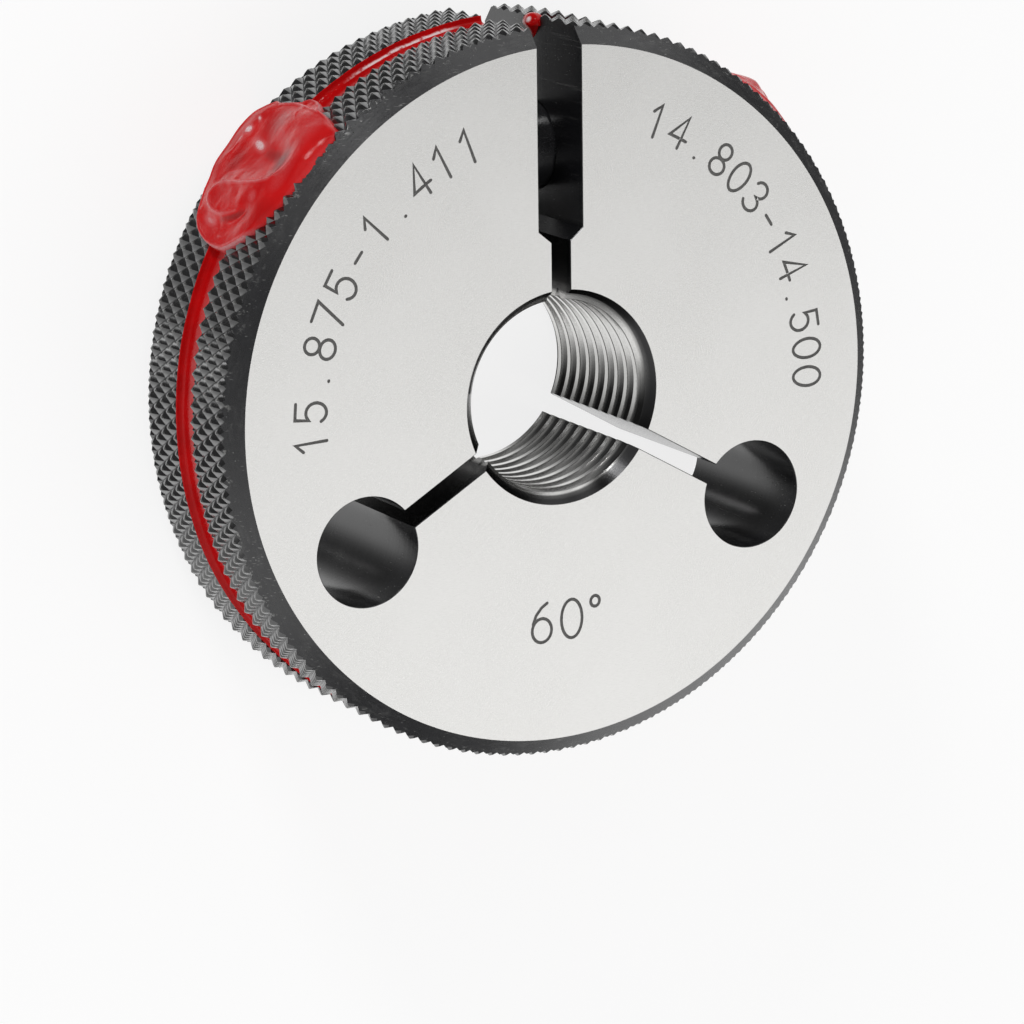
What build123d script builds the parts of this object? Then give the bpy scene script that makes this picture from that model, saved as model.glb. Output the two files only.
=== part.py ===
from build123d import *
import math
import os

# Adjustable thread ring gauge, 5/8-18 size, NOT-GO member.
#
# Frame: millimetres. The origin is on the thread axis, half way through the
# ring. +Z runs along the thread axis towards the marked face, +Y points to the
# adjusting slot, +X completes a right-handed frame. The ring lies on its back
# face, so the supporting surface is at z = -thickness / 2.

# ---------------------------------------------------------------- ring blank
thickness = 14.46            # back face to marked face
rim_r = 27.88                # over the knurl crests
face_r = 26.30               # outer edge of the ground faces
rim_chamfer_depth = 1.32     # axial length of the outer chamfers
bore_r = 7.25                # thread crests (minor diameter / 2)
bore_mouth_r = 8.15          # outer edge of the thread entry chamfers
bore_chamfer_depth = 1.00    # axial length of the entry chamfers

groove_w = 2.45              # NOT-GO marking groove round the rim
groove_floor_r = 26.98

# ----------------------------------------------------------- slots and holes
wide_slot_w = 3.73           # adjusting slot, outer part
narrow_slot_w = 1.58         # adjusting slot next to the thread, and the relief slots
slot_shoulder_y = 12.66      # lower end of the wide part
slot_neck_y = 11.77          # upper end of the narrow part
terminal_r = 4.15            # terminal holes that end the two relief slots
terminal_pitch_r = 19.15     # their centres, measured from the thread axis
terminal_start = 210.0       # degrees from +X, the second one 120 degrees on

# ------------------------------------------------------------ locking device
lock_y = 17.90               # axis of the cross hole, parallel to X
sleeve_r = 3.25
sleeve_bore_r = 2.50
sleeve_fit = 0.02            # radial clearance of the ground sleeve
sleeve_seat_x = 8.60         # step that the sleeve's right end bears on
adjust_r = 4.00              # adjusting screw, over its thread
adjust_inner_x = -7.00       # its inner end, in contact with the sleeve
adjust_len = 8.00
lock_shank_r = 2.40          # locking screw, over its thread
lock_clear_r = 2.55          # clearance hole for the shank
lock_shoulder_x = 13.20      # seat of the locking screw's head
lock_head_r = 4.30
lock_head_len = 3.60
lock_tip_x = -13.00          # tip of the locking screw, inside the adjusting screw
counterbore_r = 4.50         # mouths of the cross hole, both sides
driver_w = 1.20              # screwdriver slots
driver_d = 1.50

# ---------------------------------------------------------- wax and enamel
seal_angle = 40.0            # the mouths of the cross hole lie at this angle from +-X
seal_top_r = 29.28           # highest point of the wax
seal_half_z = 6.20
seal_half_t = 6.60           # half size round the rim
seal_shift_z = -0.25
seal_arc_t = 13.20           # radius of the crown round the rim
seal_arc_z = 16.75           # radius of the crown along the axis
enamel_floor = 0.26          # enamel thickness on the groove floor
enamel_wall = 0.14           # and on the groove sides
enamel_top_r = 27.66
drop_r = 0.95                # enamel drop that ran out of the groove into the slot

half = thickness / 2
through = thickness + 4


# ================================================================ ring body
# One piece of hardened steel: turned blank with both faces ground, slotted
# three times, drilled twice along the axis and once across the adjusting slot.
with BuildPart() as ring_body:
    with BuildSketch(Plane.XZ):
        with BuildLine():
            Polyline(
                (bore_r, -half + bore_chamfer_depth),
                (bore_mouth_r, -half),
                (face_r, -half),
                (rim_r, -half + rim_chamfer_depth),
                (rim_r, -groove_w / 2),
                (groove_floor_r, -groove_w / 2),
                (groove_floor_r, groove_w / 2),
                (rim_r, groove_w / 2),
                (rim_r, half - rim_chamfer_depth),
                (face_r, half),
                (bore_mouth_r, half),
                (bore_r, half - bore_chamfer_depth),
                close=True,
            )
        make_face()
    revolve(axis=Axis.Z)

    # adjusting slot: wide outside, narrow where it opens into the thread
    with BuildSketch(Plane.XY.offset(-through / 2)):
        with BuildLine():
            Polyline(
                (-wide_slot_w / 2, rim_r + 2),
                (-wide_slot_w / 2, slot_shoulder_y),
                (-narrow_slot_w / 2, slot_neck_y),
                (-narrow_slot_w / 2, 4.0),
                (narrow_slot_w / 2, 4.0),
                (narrow_slot_w / 2, slot_neck_y),
                (wide_slot_w / 2, slot_shoulder_y),
                (wide_slot_w / 2, rim_r + 2),
                close=True,
            )
        make_face()
    extrude(amount=through, mode=Mode.SUBTRACT)

    # relief slots from the thread to the terminal holes
    with BuildSketch(Plane.XY.offset(-through / 2)):
        with PolarLocations((4.0 + terminal_pitch_r) / 2, 2, start_angle=terminal_start,
                            angular_range=120, endpoint=True):
            Rectangle(terminal_pitch_r - 4.0, narrow_slot_w)
    extrude(amount=through, mode=Mode.SUBTRACT)

    # terminal holes
    with BuildSketch(Plane.XY.offset(-through / 2)):
        with PolarLocations(terminal_pitch_r, 2, start_angle=terminal_start,
                            angular_range=120, endpoint=True):
            Circle(terminal_r)
    extrude(amount=through, mode=Mode.SUBTRACT)

    # cross hole, right side: head counterbore, shank clearance, sleeve seat
    with BuildSketch(Plane.YZ.offset(lock_shoulder_x)):
        with Locations((lock_y, 0)):
            Circle(counterbore_r)
    extrude(amount=rim_r, mode=Mode.SUBTRACT)
    with BuildSketch(Plane.YZ.offset(sleeve_seat_x - 0.5)):
        with Locations((lock_y, 0)):
            Circle(lock_clear_r)
    extrude(amount=lock_shoulder_x - sleeve_seat_x + 1.0, mode=Mode.SUBTRACT)

    # reamed hole for the sleeve, on both sides of the slot
    with BuildSketch(Plane.YZ.offset(adjust_inner_x - 0.5)):
        with Locations((lock_y, 0)):
            Circle(sleeve_r + sleeve_fit)
    extrude(amount=sleeve_seat_x - adjust_inner_x + 0.5, mode=Mode.SUBTRACT)

    # left side: tapped hole for the adjusting screw, and the same open mouth
    with BuildSketch(Plane.YZ.offset(adjust_inner_x)):
        with Locations((lock_y, 0)):
            Circle(adjust_r)
    extrude(amount=-(adjust_len + 1.0), mode=Mode.SUBTRACT)
    with BuildSketch(Plane.YZ.offset(adjust_inner_x - adjust_len - 0.2)):
        with Locations((lock_y, 0)):
            Circle(counterbore_r)
    extrude(amount=-rim_r, mode=Mode.SUBTRACT)

ring_body.part.label = "ring_body"


# =================================================================== sleeve
# Ground tube that bridges the adjusting slot and keeps its two sides in line.
with BuildPart() as sleeve:
    with BuildSketch(Plane.YZ.offset(adjust_inner_x)):
        with Locations((lock_y, 0)):
            Circle(sleeve_r)
            Circle(sleeve_bore_r, mode=Mode.SUBTRACT)
    extrude(amount=sleeve_seat_x - adjust_inner_x)
    sleeve_rims = sleeve.edges().filter_by(GeomType.CIRCLE).filter_by(
        lambda e: abs(e.radius - sleeve_r) < 1e-4)
    chamfer(sleeve_rims, length=0.25)

sleeve.part.label = "sleeve"


# =========================================================== adjusting screw
# Hollow slotted screw: its outer thread is in the ring, its inner end pushes
# the sleeve, and its bore takes the thread of the locking screw.
with BuildPart() as adjusting_screw:
    with BuildSketch(Plane.YZ.offset(adjust_inner_x)):
        with Locations((lock_y, 0)):
            Circle(adjust_r)
            Circle(lock_shank_r, mode=Mode.SUBTRACT)
    extrude(amount=-adjust_len)
    screw_rims = adjusting_screw.edges().filter_by(GeomType.CIRCLE).filter_by(
        lambda e: abs(e.radius - adjust_r) < 1e-4)
    chamfer(screw_rims, length=0.40)
    # screwdriver slot across the outer end
    with BuildSketch(Plane.YZ.offset(adjust_inner_x - adjust_len)):
        with Locations((lock_y, 0)):
            Rectangle(2 * adjust_r + 2, driver_w)
    extrude(amount=driver_d, mode=Mode.SUBTRACT)

adjusting_screw.part.label = "adjusting_screw"


# ============================================================= locking screw
# Cheese-head screw: the head seats on the shoulder in the right half of the
# ring, the tip threads into the adjusting screw in the left half.
with BuildPart() as locking_screw:
    with BuildSketch(Plane.YZ.offset(lock_shoulder_x)):
        with Locations((lock_y, 0)):
            Circle(lock_head_r)
    extrude(amount=lock_head_len)
    head_rim = locking_screw.edges().filter_by(GeomType.CIRCLE).sort_by(Axis.X)[-1]
    chamfer(head_rim, length=0.45)
    with BuildSketch(Plane.YZ.offset(lock_shoulder_x)):
        with Locations((lock_y, 0)):
            Circle(lock_shank_r)
    extrude(amount=lock_tip_x - lock_shoulder_x)
    tip_rim = locking_screw.edges().filter_by(GeomType.CIRCLE).sort_by(Axis.X)[0]
    chamfer(tip_rim, length=0.50)
    with BuildSketch(Plane.YZ.offset(lock_shoulder_x + lock_head_len)):
        with Locations((lock_y, 0)):
            Rectangle(2 * lock_head_r + 2, driver_w)
    extrude(amount=-driver_d, mode=Mode.SUBTRACT)

locking_screw.part.label = "locking_screw"


# ============================================================= groove enamel
# Red enamel laid in the marking groove: it lines the floor and both sides, and
# stops where the adjusting slot and the two mouths of the cross hole cut the
# groove. One drop of it hangs from the right side wall of the slot.
gw = groove_w / 2
enamel_r = groove_floor_r + enamel_floor
with BuildPart() as groove_enamel:
    with BuildSketch(Plane.XZ):
        with BuildLine():
            Polyline(
                (groove_floor_r, -gw),
                (groove_floor_r, gw),
                (enamel_top_r, gw),
                (enamel_top_r, gw - enamel_wall),
                (enamel_r + 0.12, gw - enamel_wall),
                (enamel_r, gw - enamel_wall - 0.12),
                (enamel_r, -gw + enamel_wall + 0.12),
                (enamel_r + 0.12, -gw + enamel_wall),
                (enamel_top_r, -gw + enamel_wall),
                (enamel_top_r, -gw),
                close=True,
            )
        make_face()
    revolve(axis=Axis.Z)
    with BuildSketch(Plane.XY.offset(-through / 2)):
        with Locations((0, rim_r)):
            Rectangle(wide_slot_w, 6)
    extrude(amount=through, mode=Mode.SUBTRACT)
    with BuildSketch(Plane.YZ.offset(adjust_inner_x - adjust_len - 0.2)):
        with Locations((lock_y, 0)):
            Circle(counterbore_r)
    extrude(amount=-rim_r, mode=Mode.SUBTRACT)
    with BuildSketch(Plane.YZ.offset(lock_shoulder_x)):
        with Locations((lock_y, 0)):
            Circle(counterbore_r)
    extrude(amount=rim_r, mode=Mode.SUBTRACT)
    # the drop: a bead on the slot's right wall, at the groove's end
    with Locations((wide_slot_w / 2 + 0.25, groove_floor_r - 0.15, 0)):
        Sphere(drop_r)
    add(ring_body.part, mode=Mode.SUBTRACT)

groove_enamel.part.label = "groove_enamel"


# ================================================================ wax seals
# Sealing wax pressed over each mouth of the cross hole: a plug that fills the
# mouth down to the screw, under a low crowned cap that overlaps the knurl and
# fills the groove below it.
def wax_crown(angle):
    """Crowned oval block on the rim at one mouth, before the ring is cut from it."""
    a = math.radians(angle)
    ca, sa = math.cos(a), math.sin(a)
    oval_plane = Plane(origin=(0, 0, 0), x_dir=(0, 0, 1), z_dir=(ca, sa, 0))
    with BuildPart() as crown:
        with BuildSketch(oval_plane.offset(rim_r - 3)):
            with Locations((seal_shift_z, 0)):
                Ellipse(seal_half_z, seal_half_t)
        extrude(amount=6)
        # crown round the rim
        with Locations(((seal_top_r - seal_arc_t) * ca, (seal_top_r - seal_arc_t) * sa, 0)):
            Cylinder(seal_arc_t, 60, mode=Mode.INTERSECT)
        # crown along the thread axis
        cross_plane = Plane(
            origin=((seal_top_r - seal_arc_z) * ca, (seal_top_r - seal_arc_z) * sa, seal_shift_z),
            x_dir=(0, 0, 1), z_dir=(-sa, ca, 0))
        with BuildSketch(cross_plane):
            Circle(seal_arc_z)
        extrude(amount=30, both=True, mode=Mode.INTERSECT)
    return crown.part


right_crown = wax_crown(seal_angle)
left_crown = wax_crown(180 - seal_angle)

# right mouth, over the head of the locking screw
with BuildPart() as locking_screw_seal:
    with BuildSketch(Plane.YZ.offset(lock_shoulder_x + lock_head_len - driver_d)):
        with Locations((lock_y, 0)):
            Circle(counterbore_r)
    extrude(amount=20)
    Cylinder(rim_r, through, mode=Mode.INTERSECT)
    add(right_crown)
    add(ring_body.part, mode=Mode.SUBTRACT)
    add(locking_screw.part, mode=Mode.SUBTRACT)
    add(groove_enamel.part, mode=Mode.SUBTRACT)

locking_screw_seal.part.label = "locking_screw_seal"

# left mouth, over the adjusting screw
with BuildPart() as adjusting_screw_seal:
    with BuildSketch(Plane.YZ.offset(adjust_inner_x - adjust_len + driver_d)):
        with Locations((lock_y, 0)):
            Circle(counterbore_r)
    extrude(amount=-20)
    Cylinder(rim_r, through, mode=Mode.INTERSECT)
    add(left_crown)
    add(ring_body.part, mode=Mode.SUBTRACT)
    add(adjusting_screw.part, mode=Mode.SUBTRACT)
    add(groove_enamel.part, mode=Mode.SUBTRACT)

adjusting_screw_seal.part.label = "adjusting_screw_seal"


# =================================================================== export
os.makedirs("parts", exist_ok=True)
export_step(ring_body.part, "parts/ring_body.step")
export_step(sleeve.part, "parts/sleeve.step")
export_step(adjusting_screw.part, "parts/adjusting_screw.step")
export_step(locking_screw.part, "parts/locking_screw.step")
export_step(groove_enamel.part, "parts/groove_enamel.step")
export_step(locking_screw_seal.part, "parts/locking_screw_seal.step")
export_step(adjusting_screw_seal.part, "parts/adjusting_screw_seal.step")
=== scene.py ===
import math

import bmesh
import bpy
import numpy as np
from mathutils import Matrix, Vector
from mathutils.geometry import delaunay_2d_cdt


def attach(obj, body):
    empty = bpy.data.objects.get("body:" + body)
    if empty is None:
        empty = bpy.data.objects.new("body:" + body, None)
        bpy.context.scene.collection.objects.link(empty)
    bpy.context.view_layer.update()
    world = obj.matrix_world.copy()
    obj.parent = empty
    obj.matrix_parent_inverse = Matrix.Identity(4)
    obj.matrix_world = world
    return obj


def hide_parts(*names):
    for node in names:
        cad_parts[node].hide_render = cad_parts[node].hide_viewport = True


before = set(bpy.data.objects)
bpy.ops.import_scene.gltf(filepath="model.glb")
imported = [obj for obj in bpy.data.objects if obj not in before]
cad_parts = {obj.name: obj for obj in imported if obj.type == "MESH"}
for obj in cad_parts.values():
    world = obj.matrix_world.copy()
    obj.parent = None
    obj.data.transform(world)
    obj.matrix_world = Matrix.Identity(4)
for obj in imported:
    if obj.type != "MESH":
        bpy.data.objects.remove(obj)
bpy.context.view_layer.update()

scene = bpy.context.scene

# ------------------------------------------------------------------ dimensions
# Millimetres, in the CAD frame: thread axis along Z, adjusting slot towards +Y,
# origin half way through the ring.
HALF = 7.23                  # half the ring's thickness
RIM = 27.88                  # knurl crests
VALLEY = 27.48               # knurl roots
FACE = 26.30                 # outer edge of the ground faces
RIM_DEPTH = 1.32
CREST = 7.25                 # thread crests
ROOT = 7.965                 # thread roots
PITCH = 25.4 / 18
MOUTH = 8.15                 # outer edge of the entry chamfers
MOUTH_DEPTH = 1.00
GROOVE_FLOOR = 26.98
GROOVE_HALF = 1.225
WIDE, NARROW = 3.73, 1.58
SHOULDER_Y, NECK_Y = 12.66, 11.77
TERMINAL, TERMINAL_AT = 4.15, 19.15
LOCK_Y = 17.90
TEETH = 146                  # knurl teeth round the rim
TOOTH_ROW = 1.02             # half the height of one knurl diamond
EDGE = 0.05                  # broken edges of slots and holes
TAU = 2 * math.pi


# ------------------------------------------------------------------- mesh tools
def raw(name, verts, faces):
    """A mesh object in millimetres, for building with."""
    m = bpy.data.meshes.new(name)
    m.from_pydata([tuple(v) for v in verts], [], [tuple(f) for f in faces])
    m.update()
    o = bpy.data.objects.new(name, m)
    scene.collection.objects.link(o)
    return o


def drop(o):
    m = o.data
    bpy.data.objects.remove(o)
    bpy.data.meshes.remove(m)


def outward(o):
    """Turns a closed mesh the right way out, by the sign of its volume."""
    b = bmesh.new()
    b.from_mesh(o.data)
    bmesh.ops.recalc_face_normals(b, faces=b.faces)
    if b.calc_volume(signed=True) < 0:
        bmesh.ops.reverse_faces(b, faces=b.faces)
    b.to_mesh(o.data)
    b.free()
    return o


def carve(o, tool, how="DIFFERENCE", solver="MANIFOLD"):
    """o becomes o minus tool, or what they share. tool is used up."""
    md = o.modifiers.new("carve", "BOOLEAN")
    md.operation, md.object, md.solver = how, tool, solver
    ev = o.evaluated_get(bpy.context.evaluated_depsgraph_get())
    new = bpy.data.meshes.new_from_object(ev)
    o.modifiers.clear()
    old, o.data = o.data, new
    bpy.data.meshes.remove(old)
    drop(tool)
    if not len(new.polygons):
        raise RuntimeError(f"{o.name}: nothing left after a {how}")
    return o


def lathe(name, profile, n, turn=0.0):
    """Closed ring of revolution about Z from a closed (r, z) profile."""
    a = np.arange(n) * TAU / n + turn
    p = np.array(profile, float)
    k = len(p)
    v = np.stack([np.outer(p[:, 0], np.cos(a)), np.outer(p[:, 0], np.sin(a)),
                  np.repeat(p[:, 1:2], n, 1)], -1).reshape(-1, 3)
    f = []
    for j in range(k):
        j2 = (j + 1) % k
        for i in range(n):
            i2 = (i + 1) % n
            f.append((j * n + i, j * n + i2, j2 * n + i2, j2 * n + i))
    return outward(raw(name, v, f))


def prism(name, layers):
    """Closed solid from outlines with the same number of points at rising z."""
    n = len(layers[0][1])
    v, f = [], []
    for z, line in layers:
        v += [(x, y, z) for x, y in line]
    for j in range(len(layers) - 1):
        for i in range(n):
            i2 = (i + 1) % n
            f.append((j * n + i, j * n + i2, (j + 1) * n + i2, (j + 1) * n + i))
    f.append(tuple(range(n))[::-1])
    f.append(tuple((len(layers) - 1) * n + i for i in range(n)))
    return outward(raw(name, v, f))


def finish_piece(o, name, materials, which=None, smooth=28.0, flat=()):
    """Scales a built mesh to metres, names it, shades it and rides it on the ring."""
    o.name = o.data.name = name
    m = o.data
    co = np.empty(len(m.vertices) * 3, np.float32)
    m.vertices.foreach_get("co", co)
    m.vertices.foreach_set("co", co * 0.001)
    m.update()
    m.materials.clear()
    for mat in materials:
        m.materials.append(mat)
    if which is not None:
        m.polygons.foreach_set("material_index", np.asarray(which, np.int32))
    soft = np.ones(len(m.polygons), bool)
    if which is not None and flat:
        soft = ~np.isin(which, flat)
    m.polygons.foreach_set("use_smooth", soft)
    m.set_sharp_from_angle(angle=math.radians(smooth))
    m.update()
    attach(o, "root")
    return o


def poly_data(o):
    m = o.data
    c = np.empty(len(m.polygons) * 3, np.float32)
    n = np.empty(len(m.polygons) * 3, np.float32)
    m.polygons.foreach_get("center", c)
    m.polygons.foreach_get("normal", n)
    return c.reshape(-1, 3).astype(float), n.reshape(-1, 3).astype(float)


# -------------------------------------------------------------- knurled cylinder
# how far the knurling wheels wandered along the ring, by angle
KNURL_DRIFT = ((0, 50, 100, 106, 112, 121, 140, 158, 166, 176, 188, 200, 210, 270, 330, 360),
               (0.05, -0.2, -0.1, 0.2, 0.36, 0.55, 0.15, -0.2, -0.2, -0.03, 0.1, 0.0, -0.2, 0.1, -0.1, 0.05))


def knurled(name, grow=0.0, phase=0.0, z_phase=0.0, reach=8.4):
    """Solid cylinder whose side is a diamond knurl, wider than the ring is thick.

    Each tooth is a four-sided pyramid on a diamond base, with a small worn flat
    on top and narrow worn lands along its four ridges."""
    rows = int(2 * reach / TOOTH_ROW) | 1
    z0 = -rows * TOOTH_ROW / 2 + z_phase
    m = 2 * TEETH
    da = TAU / m
    v, f = [], []
    corner = {}
    rng = np.random.default_rng(18)

    def point(i, j, r):
        a = i * da + phase
        drift = np.interp(math.degrees(a) % 360, *KNURL_DRIFT)
        return (r * math.cos(a), r * math.sin(a), z0 + j * TOOTH_ROW + drift)

    def at(i, j):
        i %= m
        if (i, j) not in corner:
            corner[i, j] = len(v)
            v.append(point(i, j, VALLEY + grow))
        return corner[i, j]

    flat, land = 0.10, 0.26
    for j in range(1, rows):
        for i in range(m):
            if (i + j) % 2:
                continue
            wear = rng.uniform(-0.02, 0.02)
            top = RIM + grow
            ring4 = [(i + 1, j), (i, j + 1), (i - 1, j), (i, j - 1)]
            ids = [at(*c) for c in ring4]
            # ridge points at the height of the worn flat
            t = flat + wear
            r4 = [(i + (c[0] - i) * t, j + (c[1] - j) * t) for c in ring4]
            eight = []
            for k in range(4):
                p, q = r4[k], r4[(k + 1) % 4]
                for s in (land, 1 - land):
                    x, y = p[0] + (q[0] - p[0]) * s, p[1] + (q[1] - p[1]) * s
                    eight.append(len(v))
                    v.append(point(x, y, top - (top - VALLEY - grow) * t))
            f.append(tuple(eight))
            for k in range(4):
                a, b = eight[2 * k], eight[2 * k + 1]
                f.append((a, ids[k], ids[(k + 1) % 4], b))      # tooth side
                f.append((eight[(2 * k - 1) % 8], ids[k], a))    # ridge land
    # ends: saw-toothed rims closed to a centre point
    for j, row, flip in ((0, 0, True), (rows, rows, False)):
        rim = []
        for i in range(m):
            a0 = at(i, j) if (i + j) % 2 else None
            jj = 1 if j == 0 else rows - 1
            rim.append(a0 if a0 is not None else at(i, jj))
        c = len(v)
        v.append((0, 0, z0 + j * TOOTH_ROW + (-0.2 if j == 0 else 0.2)))
        for i in range(m):
            t = (c, rim[(i + 1) % m], rim[i])
            f.append(t if flip else t[::-1])
    return outward(raw(name, v, f))


# --------------------------------------------------------------- internal thread
def thread_plug(name):
    """Solid screw that fills the thread: what is cut out of the bore."""
    n = 144
    w = 0.265
    prof = [(-w + 0.04, CREST), (w - 0.04, CREST), (w + 0.022, CREST + 0.038),
            (0.655, ROOT - 0.045), (PITCH / 2, ROOT), (PITCH - 0.655, ROOT - 0.045),
            (PITCH - w - 0.022, CREST + 0.038)]
    k = len(prof)
    turns = 14
    J = turns * k
    v, f = [], []
    for j in range(J + 1):
        s, r = prof[j % k]
        z = -turns * PITCH / 2 + (j // k) * PITCH + s
        for i in range(n):
            a = TAU * i / n
            v.append((r * math.cos(a), r * math.sin(a), z + PITCH * i / n))
    for j in range(J):
        for i in range(n - 1):
            f.append((j * n + i, j * n + i + 1, (j + 1) * n + i + 1, (j + 1) * n + i))
    i = n - 1
    for j in range(J - k):
        f.append((j * n + i, (j + k) * n, (j + k + 1) * n, (j + 1) * n + i))
    low = [j0 for j0 in range(n)] + [j * n for j in range(k, 0, -1)]
    high = [J * n + i0 for i0 in range(n)] + [j * n + n - 1 for j in range(J - 1, J - k - 1, -1)]
    cb = len(v)
    v.append((0, 0, -turns * PITCH / 2 - 1.0))
    ct = len(v)
    v.append((0, 0, turns * PITCH / 2 + PITCH + 1.0))
    for a, b in zip(low, low[1:] + low[:1]):
        f.append((cb, b, a))
    for a, b in zip(high, high[1:] + high[:1]):
        f.append((ct, a, b))
    return outward(raw(name, v, f))


# ---------------------------------------------------------------- slots and holes
def keyhole(angle, grow, n=88):
    """Outline of one relief slot with its terminal hole."""
    h, r = NARROW / 2 + grow, TERMINAL + grow
    start = math.asin(h / r)
    line = [(4.0, -h)]
    for i in range(n + 1):
        a = math.pi + start + (TAU - 2 * start) * i / n
        line.append((TERMINAL_AT + r * math.cos(a), r * math.sin(a)))
    line.append((4.0, h))
    c, s = math.cos(math.radians(angle)), math.sin(math.radians(angle))
    return [(x * c - y * s, x * s + y * c) for x, y in line]


def adjusting_slot(grow):
    w, h = WIDE / 2 + grow, NARROW / 2 + grow
    k = grow * 0.4
    return [(-w, 31), (-w, SHOULDER_Y - k), (-h, NECK_Y - k), (-h, 4),
            (h, 4), (h, NECK_Y - k), (w, SHOULDER_Y - k), (w, 31)]


def flared(name, outline):
    """Cutter through the ring that also breaks the edges at both faces."""
    e = EDGE
    out = [(-HALF - 0.6, outline(e + 0.6)), (-HALF, outline(e)), (-HALF + e, outline(0.0)),
           (HALF - e, outline(0.0)), (HALF, outline(e)), (HALF + 0.6, outline(e + 0.6))]
    return prism(name, out)


def cross_hole(name):
    """Stepped hole along X, through both sides of the adjusting slot."""
    steps = [(-31, 4.5), (-15.2, 4.5), (-15.2, 4.0), (-7.0, 4.0), (-7.0, 3.27),
             (-WIDE / 2 - 0.18, 3.27), (-WIDE / 2 + 0.05, 3.50), (WIDE / 2 - 0.05, 3.50),
             (WIDE / 2 + 0.18, 3.27),
             (8.6, 3.27), (8.6, 2.55), (13.2, 2.55), (13.2, 4.5), (31, 4.5)]
    n = 72
    a = np.arange(n) * TAU / n
    v = []
    for x, r in steps:
        v += [(x, LOCK_Y + r * math.cos(t), r * math.sin(t)) for t in a]
    f = []
    for j in range(len(steps) - 1):
        for i in range(n):
            i2 = (i + 1) % n
            f.append((j * n + i, j * n + i2, (j + 1) * n + i2, (j + 1) * n + i))
    f.append(tuple(range(n)))
    f.append(tuple((len(steps) - 1) * n + i for i in range(n)))
    return outward(raw(name, v, f))


# ------------------------------------------------------------------ engraved marks
def arc(cx, cy, rx, ry, a0, a1, n=14):
    return [(cx + rx * math.cos(math.radians(a0 + (a1 - a0) * i / n)),
             cy + ry * math.sin(math.radians(a0 + (a1 - a0) * i / n))) for i in range(n + 1)]


# Plain single-stroke figures, one unit high. Each stroke is a list of points;
# a stroke whose last point is its first is closed.
FIGURES = {
    "0": [arc(0.30, 0.5, 0.30, 0.5, 90, 450, 28)],
    "1": [[(0.12, 0.76), (0.34, 1.0), (0.34, 0.0)]],
    "2": [arc(0.29, 0.71, 0.28, 0.29, 170, -38, 14) + [(0.02, 0.0), (0.60, 0.0)]],
    "3": [arc(0.28, 0.75, 0.25, 0.25, 160, -90, 12) + arc(0.28, 0.25, 0.30, 0.25, 78, -155, 14)],
    "4": [[(0.46, 0.0), (0.46, 1.0), (0.01, 0.30), (0.38, 0.30)], [(0.52, 0.30), (0.66, 0.30)]],
    "5": [[(0.54, 1.0), (0.10, 1.0), (0.07, 0.56)] + arc(0.28, 0.33, 0.30, 0.33, 112, -150, 16)],
    "6": [arc(0.30, 0.31, 0.28, 0.31, 0, 360, 22), [(0.05, 0.50), (0.14, 0.72), (0.30, 0.90), (0.46, 1.0)]],
    "7": [[(0.02, 1.0), (0.58, 1.0), (0.20, 0.0)]],
    "8": [arc(0.30, 0.76, 0.23, 0.24, 0, 360, 20), arc(0.30, 0.25, 0.29, 0.25, 0, 360, 22)],
    "9": [arc(0.30, 0.69, 0.28, 0.31, 0, 360, 22), [(0.55, 0.50), (0.46, 0.28), (0.30, 0.10), (0.14, 0.0)]],
    "-": [[(0.12, 0.45), (0.48, 0.45)]],
    ".": [[(0.30, 0.02), (0.31, 0.02)]],
    "deg": [arc(0.20, 0.86, 0.13, 0.14, 0, 360, 14)],
    " ": [],
}


def stroke(points, width, depth, lift):
    """One engraved stroke as a closed tube with round ends; points are (x, y) in mm."""
    p = [np.array(q, float) for q in points]
    closed = len(p) > 3 and np.linalg.norm(p[0] - p[-1]) < 1e-6
    if closed:
        p = p[:-1]
    n = len(p)
    k = 8
    section = [(math.cos(TAU * (i + 0.5) / k), math.sin(TAU * (i + 0.5) / k)) for i in range(k)]
    v, f, rings = [], [], []

    def ring(c, side, s, along=(0.0, 0.0)):
        idx = []
        for cx, cz in section:
            q = c + side * (cx * width / 2 * s) + np.array(along)
            idx.append(len(v))
            v.append((q[0], q[1], lift + cz * depth * s))
        return idx

    for i in range(n):
        if closed:
            a, b = p[(i - 1) % n], p[(i + 1) % n]
        else:
            a, b = p[max(i - 1, 0)], p[min(i + 1, n - 1)]
        d1 = p[i] - (p[i - 1] if (i or closed) else a)
        d2 = (p[(i + 1) % n] if (i < n - 1 or closed) else b) - p[i]
        if not closed and i == 0:
            d1 = d2
        if not closed and i == n - 1:
            d2 = d1
        d1, d2 = d1 / (np.linalg.norm(d1) + 1e-9), d2 / (np.linalg.norm(d2) + 1e-9)
        t = d1 + d2
        t = t / (np.linalg.norm(t) + 1e-9)
        miter = 1 / max(0.5, float(np.dot(t, d1)))
        side = np.array([-t[1], t[0]]) * miter
        if not closed and i == 0:
            for s, back in ((0.38, 0.92), (0.75, 0.66)):
                rings.append(ring(p[i], side, s, -t * width / 2 * back))
        rings.append(ring(p[i], side, 1.0))
        if not closed and i == n - 1:
            for s, on in ((0.75, 0.66), (0.38, 0.92)):
                rings.append(ring(p[i], side, s, t * width / 2 * on))
    m = len(rings)
    for j in range(m if closed else m - 1):
        a, b = rings[j], rings[(j + 1) % m]
        for i in range(k):
            i2 = (i + 1) % k
            f.append((a[i], a[i2], b[i2], b[i]))
    if not closed:
        f.append(tuple(rings[0]))
        f.append(tuple(rings[-1][::-1]))
    return v, f


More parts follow.
